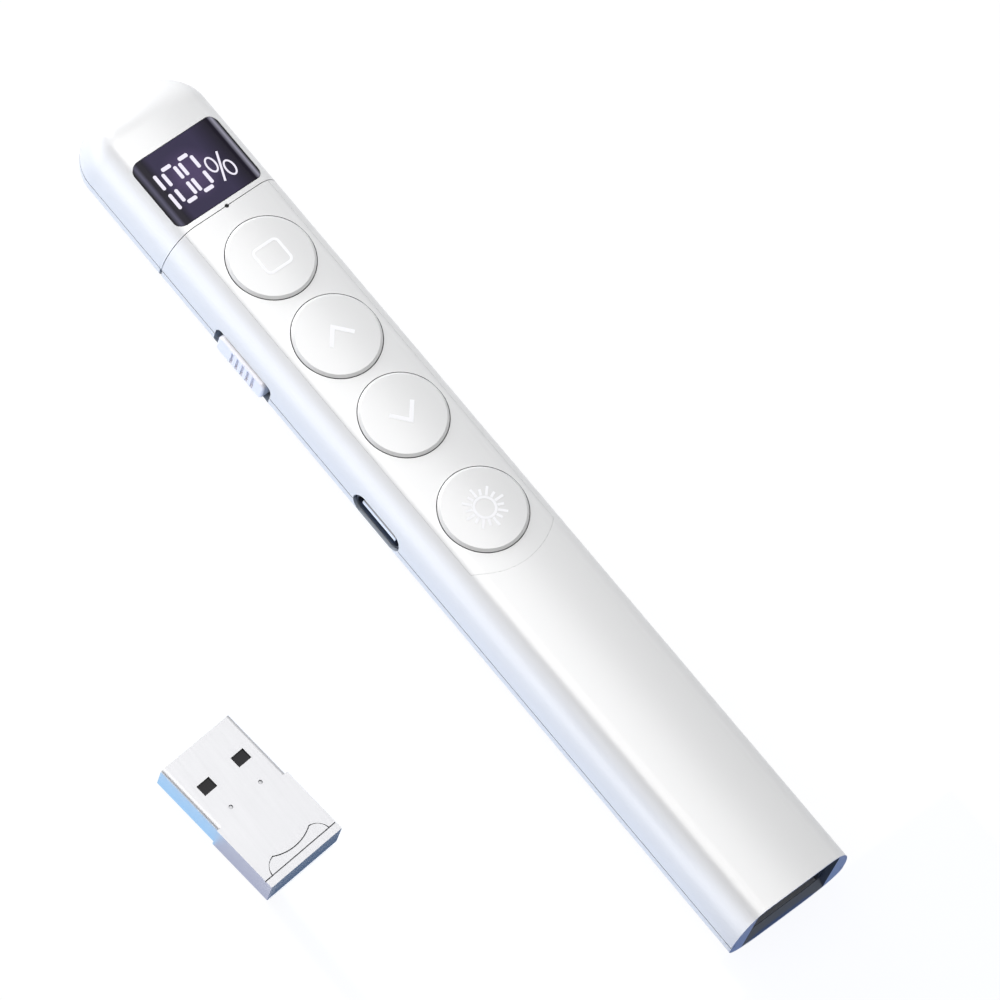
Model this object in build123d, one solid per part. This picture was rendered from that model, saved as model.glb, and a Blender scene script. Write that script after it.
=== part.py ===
"""Wireless presentation clicker with its USB receiver lying beside it.

Frame, in millimetres: X runs along the clicker, from the nose (-X) to the open tail (+X).
The buttons look up (+Z), and the -Y side carries the slide switch and the charging socket.
The origin is on the underside, half way along the clicker.
"""
from build123d import *
import math
import os

# ---------------------------------------------------------------- driving dimensions

# Case. Its section has a flat top, elliptical shoulders down to the closing line, and a
# shallow keel with wide elliptical corners below it.
body_length = 139.1
half_width = 9.7
crown_height = 7.8          # closing line to flat top
keel_height = 4.2           # closing line to underside
top_flat_half = 5.4         # half the width of the flat top
keel_reach = 6.3            # half axes of the keel's corner, across
keel_rise = 3.4             # and up
wall = 1.3
nose_length = 7.4           # half axis of the elliptical nose
nose_tip_scale = 0.2        # the nose ends in a small flat at this share of the section
nose_lead = 1.5             # straight stretch that starts the nose loft
head_length = 22.45         # nose tip to the joint between head and main shells

closing_gap = 0.2           # hairline between upper and lower shells
head_gap_upper = 0.1        # hairline between front cover and top shell
head_gap_lower = 0.45       # the same joint below the closing line
lip_height = 0.9            # lip of the lower shells, inside the upper ones
lip_inset = 0.75
lip_thickness = 0.5
fit_gap = 0.05              # clearance of pieces that are seated in one another

# Display window in the head
lens_length = 10.75
lens_half_width = 7.04
lens_corner = 1.3
lens_thickness = 1.0
lens_gap = 0.08
lens_setback = 0.85         # from the head joint forward to the window
lens_ledge = 1.0
display_thickness = 1.5
display_inset = 0.8         # display module inside the window's outline
display_drop = 0.3          # display module below the cover's inner face
pin_rows = 4
pin_size = 0.4

# Inlay round the buttons
panel_half_width = 7.0
panel_thickness = 0.4
panel_past_button = 8.65    # last button's centre to the curved end
panel_end_bulge = 2.6       # how far the end curves out
panel_gap = 0.02

# Buttons
first_button_setback = 9.2  # head joint to the first button's centre
button_pitch = 13.72
pointer_button_gap = 16.31  # third button to the fourth
button_hole_radius = 6.15
button_gap = 0.12
button_rise = 0.37          # flat top of the cap above the case
button_bevel = 0.36         # width of the bevel round it
button_bevel_height = 0.32
button_flange = 0.45        # flange radius beyond the hole's
flange_thickness = 0.8
flange_drop = 0.9           # flange top below the shell's inner face
button_stem_radius = 1.6
button_travel = 0.3

# Tact switches under the buttons
tact_size = 5.2
tact_height = 3.4
plunger_radius = 1.75
plunger_reach = 0.9         # plunger above its case
plunger_depth = 1.3         # plunger inside its case
plunger_gap = 0.1
dome_thickness = 0.15
dome_room = 0.15            # left between plunger and dome when pressed

# Slide switch in the -Y side
switch_setback = 16.9       # head joint to the window's centre
switch_window_length = 11.4
switch_window_height = 3.8
switch_window_corner = 1.0
switch_travel = 1.5         # from end to end; the knob is drawn half way
switch_end_gap = 0.3
switch_side_gap = 0.17
knob_rise = 0.4             # knob beyond the side of the case
knob_depth = 1.1            # knob inside the side of the case
knob_edge = 0.3
rib_count = 5
rib_pitch = 1.07
rib_width = 0.5
rib_height = 2.7
rib_depth = 0.4
rib_shift = 0.5             # ribs stand this far to the tail of the knob's centre
slider_overlap = 1.7        # dark plate beyond the knob at each end
slider_thickness = 0.8
slider_margin = 0.45        # dark plate beyond the window, above and below
slider_wall_gap = 0.65      # dark plate to the inner side wall
slider_corner_gap = 0.15    # dark plate to the curved inside of the case
slide_case_length = 8.6
slide_case_depth = 3.3
slide_case_height = 3.3
slide_case_gap = 0.35       # case to dark plate
lever_width = 1.5
lever_height = 1.3
lever_inside = 1.9
lever_gap = 0.3

# USB-C socket in the -Y side
socket_setback = 44.55      # head joint to the socket's centre
socket_width = 8.94
socket_height = 3.26
socket_rise = 0.6           # socket's centre above the closing line
socket_wall = 0.3
socket_depth = 7.3
socket_recess = 0.5
socket_cut_gap = 0.17
socket_base = 2.0
tongue_width = 6.65
tongue_thickness = 0.7
tongue_recess = 0.05
contact_setback = 0.7       # tongue's front edge to its contacts
contact_count = 12
contact_pitch = 0.5
contact_width = 0.25
contact_thickness = 0.05
contact_length = 3.2

# Main board and what stands on it
board_thickness = 0.8
board_side_gap = 0.9        # board's edge to the inner side wall
board_front = 10.9          # nose tip to the board's front edge
board_past_button = 12.05   # last button's centre to the board's end
board_notch_gap = 0.3
screw_end_margin = 4.5      # board screws from the main shells' joint and the board's end
screw_from_edge = 1.6       # board screws from the board's long edges
screw_radius = 0.55
screw_head_radius = 1.2
screw_head_height = 0.7
screw_floor = 0.75          # left under the screw's pilot hole
standoff_radius = 1.5
radio_chip_size = (5.0, 5.0, 0.9)
crystal_size = (3.2, 2.5, 0.8)
charge_chip_size = (3.0, 3.0, 0.9)
antenna_size = (2.0, 5.0, 1.1)
chip_row = 2.2              # chips stand off the board's centre line
antenna_from_end = 4.4

# Laser in the nose
laser_rise = 0.3            # laser axis above the closing line
laser_radius = 2.0
laser_length = 7.1
laser_setback = 2.8         # nose tip to the barrel's front
laser_bore = 0.8
laser_lens_thickness = 0.9
laser_window_radius = 1.0
laser_window_thickness = 0.9
laser_rib_width = 1.2
laser_seat_wall = 0.6       # brass left round the lens
laser_lead_radius = 0.2
laser_lead_spacing = 1.6
laser_lead_foot = 2.0       # leads lie this far along the board

# Pinhole light between head and main shells
pipe_radius = 0.25
pipe_foot_radius = 0.7
pipe_foot_height = 0.7
pipe_hole_gap = 0.05
pipe_recess = 0.25
led_size = (1.6, 0.8, 0.6)

# Battery. It fills the room between the board and the receiver's bay, less two fences.
battery_width = 12.4
battery_height = 6.4
battery_radius = 1.2
battery_pad = 0.3
battery_gap = 0.8           # from the board's end, and from the bay, to the battery's fences

# USB receiver. It lies beside the clicker, with its plug towards the nose.
receiver_x = 17.95
receiver_y = -47.2
receiver_heading = 4.8      # degrees
receiver_length = 20.6
receiver_width = 12.0       # of the plug
grip_side_step = 0.2        # grip wider than the plug, each side
plug_height = 4.5
plug_length = 10.5
plug_wall = 0.3
plug_corner = 0.6
grip_drop = 0.7             # grip below the plug's underside
grip_bottom_radius = 1.0
plug_hole_length = 1.65
plug_hole_width = 2.15
plug_hole_from_end = 5.3
plug_hole_offset = 3.0
dimple_from_end = 9.3
dimple_offset = 2.6
dimple_radius = 0.3
dimple_depth = 0.2
cover_line_from_tail = 1.2  # the metal top ends this far from the grip's end
tab_peak = 1.7              # height of the tab's two peaks before that line
tab_dip = 0.85              # and of the dip between them
tab_peak_offset = 3.2
tab_foot_offset = 4.9
cover_slit = 0.16
tab_groove_depth = 0.25     # straight line across the foot of the tab
plug_tongue_thickness = 1.9
plug_tongue_recess = 0.8
plug_contact_count = 4
plug_contact_pitch = 2.3
plug_contact_size = (6.5, 1.2, 0.15)
receiver_board_size = (6.0, 8.6, 0.8)

# Bay in the tail that stores the receiver
bay_side_gap = 0.12
bay_height_gap = 0.3
bay_end_gap = 0.3
bay_end_wall = 1.0
bay_mouth_depth = 1.4
bay_mouth_gap = 0.15        # mouth wider than the slot, each side
end_wall = 1.0              # wall of the shells across the tail
end_mouth_half = 7.0        # half width of the mouth in that wall
end_edge = 0.3              # the wall thins to this edge above and below the mouth

# ---------------------------------------------------------------- places worked out

nose_tip_x = -body_length / 2
tail_x = body_length / 2
nose_start_x = nose_tip_x + nose_length * math.sqrt(1 - nose_tip_scale**2)
head_joint_x = nose_tip_x + head_length
seam_z = keel_height
top_z = keel_height + crown_height
inner_top_z = top_z - wall

lens_x = head_joint_x - lens_setback - lens_length / 2

button_x = [head_joint_x + first_button_setback + i * button_pitch for i in range(3)]
button_x.append(button_x[2] + pointer_button_gap)
button_radius = button_hole_radius - button_gap
flange_top_z = inner_top_z - flange_drop
panel_end_x = button_x[3] + panel_past_button

socket_z = seam_z + socket_rise
board_top_z = socket_z - socket_height / 2
board_bottom_z = board_top_z - board_thickness
board_front_x = nose_tip_x + board_front
board_end_x = button_x[3] + board_past_button
board_half_width = half_width - wall - board_side_gap
screw_row = board_half_width - screw_from_edge

tact_top_z = board_top_z + tact_height
plunger_top_z = tact_top_z + plunger_reach
plunger_bottom_z = tact_top_z - plunger_depth
dome_top_z = plunger_bottom_z - button_travel - dome_room
chamber_floor_z = dome_top_z - dome_thickness

switch_x = head_joint_x + switch_setback
knob_length = switch_window_length - switch_travel - 2 * switch_end_gap
slider_outer_y = -(half_width - wall - slider_wall_gap)
slider_inner_y = slider_outer_y + slider_thickness
slide_case_y = slider_inner_y + slide_case_gap

socket_x = head_joint_x + socket_setback
socket_mouth_y = -(half_width - socket_recess)
socket_rear_y = socket_mouth_y + socket_depth
socket_base_y = socket_rear_y - socket_base

laser_z = seam_z + laser_rise
laser_front_x = nose_tip_x + laser_setback
laser_rear_x = laser_front_x + laser_length
laser_seat_radius = laser_radius - laser_seat_wall

grip_half = receiver_width / 2 + grip_side_step
receiver_height = plug_height + grip_drop
receiver_top_z = receiver_height
cover_end_x = receiver_length - cover_line_from_tail
tongue_top_z = receiver_top_z - plug_wall
tongue_rear_top_z = receiver_top_z - 3 * plug_wall
tongue_z = tongue_top_z - plug_tongue_thickness
receiver_board_z = (tongue_z - receiver_board_size[2], tongue_z)

bay_slot_width = 2 * (grip_half + bay_side_gap)
bay_slot_height = receiver_height + 2 * bay_height_gap
bay_mouth_x = tail_x - end_wall - fit_gap
bay_slot_start_x = bay_mouth_x - bay_mouth_depth
bay_floor_x = bay_slot_start_x - receiver_length - bay_end_gap
bay_front_x = bay_floor_x - bay_end_wall
bay_z = top_z / 2

battery_fence_x = (board_end_x + battery_gap + wall / 2, bay_front_x - battery_gap - wall / 2)
battery_front_x = battery_fence_x[0] + wall / 2 + fit_gap
battery_rear_x = battery_fence_x[1] - wall / 2 - fit_gap

radio_x = (button_x[1] + button_x[2]) / 2

BIG = 4 * half_width        # reach of the tools that cut right through


# ---------------------------------------------------------------- shared shapes

def block(x, y, z):
    """Box between two bounds on each axis, each given as (low, high)."""
    size = (x[1] - x[0], y[1] - y[0], z[1] - z[0])
    centre = ((x[0] + x[1]) / 2, (y[0] + y[1]) / 2, (z[0] + z[1]) / 2)
    return Pos(*centre) * Box(*size)


def post(x, y, z, radius):
    """Upright cylinder between z = (low, high)."""
    return Pos(x, y, (z[0] + z[1]) / 2) * Cylinder(radius, z[1] - z[0])


def rod(x, y, z, radius):
    """Cylinder along X, between x = (low, high)."""
    return Pos((x[0] + x[1]) / 2, y, z) * Rot(0, 90, 0) * Cylinder(radius, x[1] - x[0])


def section_plane(x):
    """Plane across the case: local x is Y, and local y is height above the closing line."""
    return Plane(origin=(x, 0, seam_z), x_dir=(0, 1, 0), z_dir=(1, 0, 0))


def side_plane(y):
    """Plane that faces -Y: local x is X, and local y is height above the closing line."""
    return Plane(origin=(0, y, seam_z), x_dir=(1, 0, 0), z_dir=(0, -1, 0))


def crown_face(inset, scale):
    """Upper half of the section: flat top and two elliptical shoulders."""
    w = (half_width - inset) * scale
    h = (crown_height - inset) * scale
    flat = top_flat_half * scale
    right = EllipticalCenterArc((flat, 0), w - flat, h, start_angle=0, arc_size=90)
    left = EllipticalCenterArc((-flat, 0), w - flat, h, start_angle=90, arc_size=90)
    return make_face([right, Line((flat, h), (-flat, h)), left, Line((-w, 0), (w, 0))])


def keel_face(inset, scale):
    """Lower half of the section: short upright sides, elliptical corners, flat underside."""
    w = (half_width - inset) * scale
    h = (keel_height - inset) * scale
    a = (keel_reach - inset) * scale
    b = (keel_rise - inset) * scale
    outline = [
        Line((w, 0), (-w, 0)),
        Line((-w, 0), (-w, b - h)),
        EllipticalCenterArc((a - w, b - h), a, b, start_angle=180, arc_size=90),
        Line((a - w, -h), (w - a, -h)),
        EllipticalCenterArc((w - a, b - h), a, b, start_angle=270, arc_size=90),
        Line((w, b - h), (w, 0)),
    ]
    return make_face(outline)


def span(face_maker, inset, x_from, x_to):
    """Straight stretch of a half of the case."""
    return extrude(section_plane(x_from) * face_maker(inset, 1.0), x_to - x_from)


def with_nose(face_maker, inset, x_to):
    """Half of the case from the nose tip back to x_to.

    Every section of the nose is the main section made smaller, as a quarter ellipse does.
    """
    stations = [(nose_start_x + nose_lead, 1.0)]
    last_angle = math.acos(nose_tip_scale)
    steps = 7
    for i in range(steps + 1):
        angle = last_angle * i / steps
        x = nose_start_x - (nose_length - inset) * math.sin(angle)
        stations.append((x, math.cos(angle)))
    nose = loft([section_plane(x) * face_maker(inset, scale) for x, scale in stations])
    return nose + span(face_maker, inset, nose_start_x + nose_lead, x_to)


def window_prism(outline):
    """Upright prism through the crown, from the closing line up."""
    return extrude(Plane.XY.offset(seam_z) * outline, BIG)


def lens_outline(grow):
    """Plan of the display window."""
    return Pos(lens_x, 0) * RectangleRounded(
        lens_length + 2 * grow, 2 * (lens_half_width + grow), lens_corner + grow)


def panel_outline(grow):
    """Plan of the button inlay: square at the head joint, bowed at its tail end."""
    w = panel_half_width + grow
    x0 = head_joint_x
    x1 = panel_end_x + grow
    corner_x = x1 - panel_end_bulge
    return make_face([
        Line((x0, w), (x0, -w)),
        Line((x0, -w), (corner_x, -w)),
        ThreePointArc((corner_x, -w), (x1, 0), (corner_x, w)),
        Line((corner_x, w), (x0, w)),
    ])


def side_cut(sketch):
    """Tool that cuts a side opening through the -Y wall."""
    return extrude(side_plane(-half_width / 2) * sketch, BIG)


def switch_window():
    outline = RectangleRounded(switch_window_length, switch_window_height, switch_window_corner)
    return side_cut(Pos(switch_x, 0) * outline)


def socket_cut():
    outline = SlotOverall(socket_width + 2 * socket_cut_gap, socket_height + 2 * socket_cut_gap)
    return side_cut(Pos(socket_x, socket_rise) * outline)


def laser_hole(grow):
    return rod((nose_tip_x - 1, laser_front_x), 0, laser_z, laser_window_radius + grow)


def closing_slab(z_from, z_to):
    return block((nose_tip_x - 1, tail_x + 1), (-BIG, BIG), (z_from, z_to))


def screw_places():
    front = head_joint_x + screw_end_margin
    rear = board_end_x - screw_end_margin
    return [(x, y) for x in (front, rear) for y in (-screw_row, screw_row)]


# ---------------------------------------------------------------- case

def upper_rebate(face_source):
    """Room in an upper shell for the lip of the lower one."""
    return face_source & closing_slab(seam_z - 1, seam_z + lip_height)


def make_front_cover():
    x_end = head_joint_x - head_gap_upper / 2
    cover = with_nose(crown_face, 0, x_end) - with_nose(crown_face, wall, x_end + 1)
    cover -= upper_rebate(with_nose(crown_face, lip_inset - fit_gap, x_end + 1))
    cover -= closing_slab(seam_z - 1, seam_z + closing_gap)
    recess = with_nose(crown_face, 0, x_end) - with_nose(crown_face, lens_thickness, x_end)
    cover -= recess & window_prism(lens_outline(lens_gap))
    cover -= window_prism(lens_outline(-lens_ledge))
    clamp = with_nose(crown_face, wall - fit_gap, x_end) & laser_rib_slabs()
    cover += clamp - closing_slab(seam_z - 1, seam_z + lip_height + fit_gap)
    cover -= laser_hole(0)
    cover -= laser_saddle()
    cover -= pipe_hole()
    return cover


def laser_rib_slabs():
    """Two slabs across the nose, where ribs hold the laser barrel."""
    slabs = []
    for share in (0.3, 0.75):
        x = laser_front_x + share * laser_length
        half = laser_rib_width / 2
        slabs.append(block((x - half, x + half), (-BIG, BIG), (-BIG, BIG)))
    return slabs[0] + slabs[1]


def laser_saddle():
    return rod((laser_front_x - 1, laser_rear_x + 1), 0, laser_z, laser_radius + fit_gap)


def pipe_hole():
    return post(head_joint_x, 0, (seam_z, top_z + 1), pipe_radius + pipe_hole_gap)


def make_front_base():
    x_end = head_joint_x - head_gap_lower / 2
    base = with_nose(keel_face, 0, x_end) - with_nose(keel_face, wall, x_end + 1)
    lip = with_nose(crown_face, lip_inset, x_end)
    lip -= with_nose(crown_face, lip_inset + lip_thickness, x_end + 1)
    base += lip & closing_slab(seam_z, seam_z + lip_height)
    base += with_nose(keel_face, wall - fit_gap, x_end) & laser_rib_slabs()
    base -= laser_hole(0)
    base -= laser_saddle()
    return base


def make_top_shell():
    x0 = head_joint_x + head_gap_upper / 2
    shell = span(crown_face, 0, x0, tail_x)
    shell -= span(crown_face, wall, x0 - 1, tail_x - end_wall)
    shell -= tail_mouth(crown_face)
    shell -= upper_rebate(span(crown_face, lip_inset - fit_gap, x0 - 1, tail_x + 1))
    shell -= closing_slab(seam_z - 1, seam_z + closing_gap)
    pocket = span(crown_face, 0, x0 - 1, tail_x) - span(crown_face, panel_thickness, x0 - 1, tail_x)
    shell -= pocket & window_prism(panel_outline(panel_gap))
    for x in button_x:
        shell -= post(x, 0, (seam_z, top_z + 1), button_hole_radius)
    shell -= switch_window()
    shell -= socket_cut()
    shell -= pipe_hole()
    return shell


def make_bottom_shell():
    x0 = head_joint_x + head_gap_lower / 2
    shell = span(keel_face, 0, x0, tail_x) - span(keel_face, wall, x0 - 1, tail_x - end_wall)
    lip = span(crown_face, lip_inset, x0, tail_x)
    lip -= span(crown_face, lip_inset + lip_thickness, x0 - 1, tail_x - end_wall)
    shell += lip & closing_slab(seam_z, seam_z + lip_height)
    shell -= tail_mouth(keel_face) + tail_mouth(crown_face)
    rooted = span(keel_face, wall / 2, x0, tail_x - end_wall)
    for x, y in screw_places():
        shell += post(x, y, (0, board_bottom_z), standoff_radius) & rooted
    for x in battery_fence_x:
        half = wall / 2
        fence = block((x - half, x + half), (-battery_width / 2, battery_width / 2), (0, seam_z))
        shell += fence & rooted
    for x, y in screw_places():
        shell -= post(x, y, (screw_floor, board_bottom_z + 1), screw_radius + fit_gap)
    shell -= switch_window()
    shell -= socket_cut()
    return shell


def tail_mouth(face_maker):
    """Tool for the mouth in the tail's end wall; it flares so that the wall ends in thin edges."""
    x0 = tail_x - end_wall
    flare = wall - end_edge
    x1 = tail_x + end_wall * end_edge / flare / 2
    inner = section_plane(x0) * face_maker(wall, 1.0)
    outer = section_plane(x1) * face_maker(end_edge / 2, 1.0)
    lead = section_plane(x0 - end_wall) * face_maker(wall, 1.0)
    funnel = loft([inner, outer], ruled=True) + loft([lead, inner], ruled=True)
    return funnel & block((x0 - end_wall, x1), (-end_mouth_half, end_mouth_half), (-BIG, BIG))


def make_button_panel():
    x0 = head_joint_x + head_gap_upper / 2
    skin = span(crown_face, 0, x0, tail_x) - span(crown_face, panel_thickness, x0, tail_x)
    panel = skin & window_prism(panel_outline(0))
    for x in button_x:
        panel -= post(x, 0, (seam_z, top_z + 1), button_hole_radius)
    return panel - pipe_hole()


def make_display_lens():
    skin = span(crown_face, 0, nose_start_x, head_joint_x)
    skin -= span(crown_face, lens_thickness, nose_start_x, head_joint_x)
    return skin & window_prism(lens_outline(0))


def make_receiver_bay():
    inset = wall + fit_gap
    bay = span(crown_face, inset, bay_front_x, bay_mouth_x)
    bay += span(keel_face, inset, bay_front_x, bay_mouth_x)
    half_w = bay_slot_width / 2
    half_h = bay_slot_height / 2
    bay -= block((bay_floor_x, tail_x), (-half_w, half_w), (bay_z - half_h, bay_z + half_h))
    mouth = half_w + bay_mouth_gap
    bay -= block((bay_slot_start_x, tail_x), (-mouth, mouth), (-1, top_z))
    return bay


def make_laser_window():
    x0 = nose_tip_x
    return rod((x0, x0 + laser_window_thickness), 0, laser_z, laser_window_radius - fit_gap / 2)


# ---------------------------------------------------------------- buttons and switches

def make_button(x):
    """Flat round cap with a bevel, a flange that keeps it in, and a stem to its switch."""
    top = top_z + button_rise
    flange_radius = button_hole_radius + button_flange
    flange_z = flange_top_z - flange_thickness
    outline = Polyline(
        (0, top), (button_radius - button_bevel, top), (button_radius, top - button_bevel_height),
        (button_radius, flange_top_z), (flange_radius, flange_top_z), (flange_radius, flange_z),
        (button_stem_radius, flange_z), (button_stem_radius, plunger_top_z), (0, plunger_top_z),
        (0, top))
    return Pos(x, 0, 0) * revolve(make_face(Plane.XZ * outline), Axis.Z)


def make_plunger(x):
    return post(x, 0, (plunger_bottom_z, plunger_top_z), plunger_radius)


def make_tact_case(x):
    half = tact_size / 2
    case = block((x - half, x + half), (-half, half), (board_top_z, tact_top_z))
    case = chamfer(case.edges().filter_by(Axis.Z), plunger_gap * 4)
    return case - post(x, 0, (chamber_floor_z, tact_top_z + 1), plunger_radius + plunger_gap)


def make_dome(x):
    return post(x, 0, (chamber_floor_z, dome_top_z), plunger_radius)


def make_switch_knob():
    """Ribbed plate that stands out of the side, with a tongue to the plate behind it."""
    outer_y = -(half_width + knob_rise)
    inner_y = -(half_width - knob_depth)
    height = switch_window_height - 2 * switch_side_gap
    outline = RectangleRounded(knob_length, height, switch_window_corner - switch_side_gap)
    knob = extrude(side_plane(inner_y) * (Pos(switch_x, 0) * outline), inner_y - outer_y)
    face_edges = [e for e in knob.edges() if abs(e.center().Y - outer_y) < 0.001]
    knob = fillet(face_edges, knob_edge)
    first = switch_x + rib_shift - (rib_count - 1) / 2 * rib_pitch
    for i in range(rib_count):
        x = first + i * rib_pitch
        knob -= block((x - rib_width / 2, x + rib_width / 2), (outer_y - 1, outer_y + rib_depth),
                      (seam_z - rib_height / 2, seam_z + rib_height / 2))
    tongue_half = height / 3
    knob += block((switch_x - knob_length / 4, switch_x + knob_length / 4), (inner_y, slider_outer_y),
                  (seam_z - tongue_half, seam_z + tongue_half))
    return knob


def make_switch_slider():
    """Dark plate that closes the window behind the knob at both ends of its travel."""
    half_length = knob_length / 2 + slider_overlap
    half_height = switch_window_height / 2 + slider_margin
    plate = block((switch_x - half_length, switch_x + half_length), (slider_outer_y, slider_inner_y),
                  (seam_z - half_height, seam_z + half_height))
    plate = chamfer(plate.edges().filter_by(Axis.X), slider_thickness / 3)
    inset = wall + slider_corner_gap
    x0, x1 = switch_x - half_length, switch_x + half_length
    plate &= span(keel_face, inset, x0, x1) + span(crown_face, inset, x0, x1)
    return plate - lever_block(fit_gap)


def lever_block(grow):
    half_w = lever_width / 2 + grow
    half_h = lever_height / 2 + grow
    return block((switch_x - half_w, switch_x + half_w),
                 (slider_outer_y + slider_thickness / 3, slide_case_y + lever_inside),
                 (seam_z - half_h, seam_z + half_h))


def make_slide_case():
    half = slide_case_length / 2
    case = block((switch_x - half, switch_x + half), (slide_case_y, slide_case_y + slide_case_depth),
                 (board_top_z, board_top_z + slide_case_height))
    slot_half = (lever_width + switch_travel) / 2 + lever_gap
    slot_height = lever_height / 2 + lever_gap / 2
    return case - block((switch_x - slot_half, switch_x + slot_half),
                        (slide_case_y - 1, slide_case_y + lever_inside + lever_gap),
                        (seam_z - slot_height, seam_z + slot_height))


# ---------------------------------------------------------------- charging socket

def socket_prism(width, height, y_from, y_to):
    outline = Pos(socket_x, socket_rise) * SlotOverall(width, height)
    return extrude(side_plane(y_to) * outline, y_to - y_from)


def make_socket_shell():
    tube = socket_prism(socket_width, socket_height, socket_mouth_y, socket_rear_y)
    return tube - socket_prism(socket_width - 2 * socket_wall, socket_height - 2 * socket_wall,
                               socket_mouth_y - 1, socket_rear_y + 1)


def make_socket_core():
    inner_width = socket_width - 2 * (socket_wall + fit_gap)
    inner_height = socket_height - 2 * (socket_wall + fit_gap)
    core = socket_prism(inner_width, inner_height, socket_base_y, socket_rear_y)
    half = tongue_thickness / 2
    tongue = block((socket_x - tongue_width / 2, socket_x + tongue_width / 2),
                   (socket_mouth_y + tongue_recess, socket_base_y), (socket_z - half, socket_z + half))
    return core + tongue


def make_socket_contacts():
    """Twelve strips on each face of the tongue."""
    strips = []
    y0 = socket_mouth_y + tongue_recess + contact_setback
    for i in range(contact_count):
        x = socket_x + (i - (contact_count - 1) / 2) * contact_pitch
        for side in (-1, 1):
            z = socket_z + side * (tongue_thickness + contact_thickness) / 2
            strips.append(Pos(x, y0 + contact_length / 2, z)
                          * Box(contact_width, contact_length, contact_thickness))
    return strips


# ---------------------------------------------------------------- electronics

def make_main_board():
    board = block((board_front_x, board_end_x), (-board_half_width, board_half_width),
                  (board_bottom_z, board_top_z))
    reach = knob_length / 2 + slider_overlap + switch_travel / 2 + board_notch_gap
    board -= block((switch_x - reach, switch_x + reach),
                   (-BIG, slider_inner_y + board_notch_gap), (-BIG, BIG))
    for x, y in screw_places():
        board -= post(x, y, (board_bottom_z - 1, board_top_z + 1), screw_radius + 3 * fit_gap)
    return board


def make_board_screws():
    screws = []
    for x, y in screw_places():
        shank = post(x, y, (screw_floor + fit_gap, board_top_z), screw_radius)
        head = post(x, y, (board_top_z, board_top_z + screw_head_height), screw_head_radius)
        screws.append(shank + head)
    return screws


def display_bounds():
    half_length = lens_length / 2 - display_inset
    top = inner_top_z - display_drop
    return (lens_x - half_length, lens_x + half_length), (top - display_thickness, top)


def make_display_module():
    x, z = display_bounds()
    half = lens_half_width - display_inset
    return block(x, (-half, half), z)


def make_display_pins():
    """Pins from the display module down to the board, in two rows."""
    (x0, x1), (z0, _) = display_bounds()
    pins = []
    for x in (x0 + 2 * pin_size, x1 - 2 * pin_size):
        for i in range(pin_rows):
            y = (i - (pin_rows - 1) / 2) * 6 * pin_size
            half = pin_size / 2
            pins.append(block((x - half, x + half), (y - half, y + half), (board_top_z, z0)))
    return pins


def chip(x, y, length, width, height):
    return Pos(x, y, board_top_z + height / 2) * Box(length, width, height)


def make_light_pipe():
    led_top = board_top_z + led_size[2]
    pipe = post(head_joint_x, 0, (led_top, top_z - pipe_recess), pipe_radius)
    return pipe + post(head_joint_x, 0, (led_top, led_top + pipe_foot_height), pipe_foot_radius)


def make_battery():
    half = battery_width / 2
    z0 = wall + battery_pad
    cell = block((battery_front_x, battery_rear_x), (-half, half), (z0, z0 + battery_height))
    return fillet(cell.edges().filter_by(Axis.X), battery_radius)


def make_battery_pad():
    """Foam strip on the flat of the floor, under the battery."""
    half = half_width - keel_reach - fit_gap
    return block((battery_front_x + wall, battery_rear_x - wall), (-half, half),
                 (wall, wall + battery_pad))


def make_laser_barrel():
    barrel = rod((laser_front_x, laser_rear_x), 0, laser_z, laser_radius)
    barrel -= rod((laser_front_x - 1, laser_front_x + laser_lens_thickness), 0, laser_z,
                  laser_seat_radius)
    return barrel - rod((laser_front_x, laser_rear_x - 1), 0, laser_z, laser_bore)


def make_laser_lens():
    return rod((laser_front_x, laser_front_x + laser_lens_thickness), 0, laser_z,
               laser_seat_radius - fit_gap)


def make_laser_leads():
    z = board_top_z + laser_lead_radius
    x_end = board_front_x + laser_lead_foot
    return [rod((laser_rear_x, x_end), side * laser_lead_spacing / 2, z, laser_lead_radius)
            for side in (-1, 1)]


# ---------------------------------------------------------------- receiver

def place_receiver(shape):
    """Takes a shape from the receiver's own frame, with its plug end at x = 0, to its place."""
    centre = Pos(-receiver_length / 2, 0, 0)
    return Pos(receiver_x, receiver_y, 0) * Rot(0, 0, receiver_heading) * centre * shape


def tab_outline(grow):
    """Tab of the grip in the metal top: two peaks with a dip between, and curved flanks."""
    x = cover_end_x + cover_slit
    peak_x = cover_end_x - tab_peak - grow
    dip_x = cover_end_x - tab_dip - grow
    peak_y = tab_peak_offset
    foot_y = tab_foot_offset + grow
    bend_x = cover_end_x - tab_peak * 0.75
    bend_y = peak_y + (foot_y - peak_y) * 0.62
    return make_face([
        Line((x, -foot_y), (x, foot_y)),
        Line((x, foot_y), (cover_end_x, foot_y)),
        ThreePointArc((cover_end_x, foot_y), (bend_x, bend_y), (peak_x, peak_y)),
        ThreePointArc((peak_x, peak_y), (dip_x, 0), (peak_x, -peak_y)),
        ThreePointArc((peak_x, -peak_y), (bend_x, -bend_y), (cover_end_x, -foot_y)),
        Line((cover_end_x, -foot_y), (x, -foot_y)),
    ])


def plug_tube(inset, x_from, x_to):
    plane = Plane(origin=(x_from, 0, receiver_top_z - plug_height / 2), x_dir=(0, 1, 0), z_dir=(1, 0, 0))
    outline = RectangleRounded(receiver_width - 2 * inset, plug_height - 2 * inset,
                               max(plug_corner - inset, fit_gap))
    return extrude(plane * outline, x_to - x_from)


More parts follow.
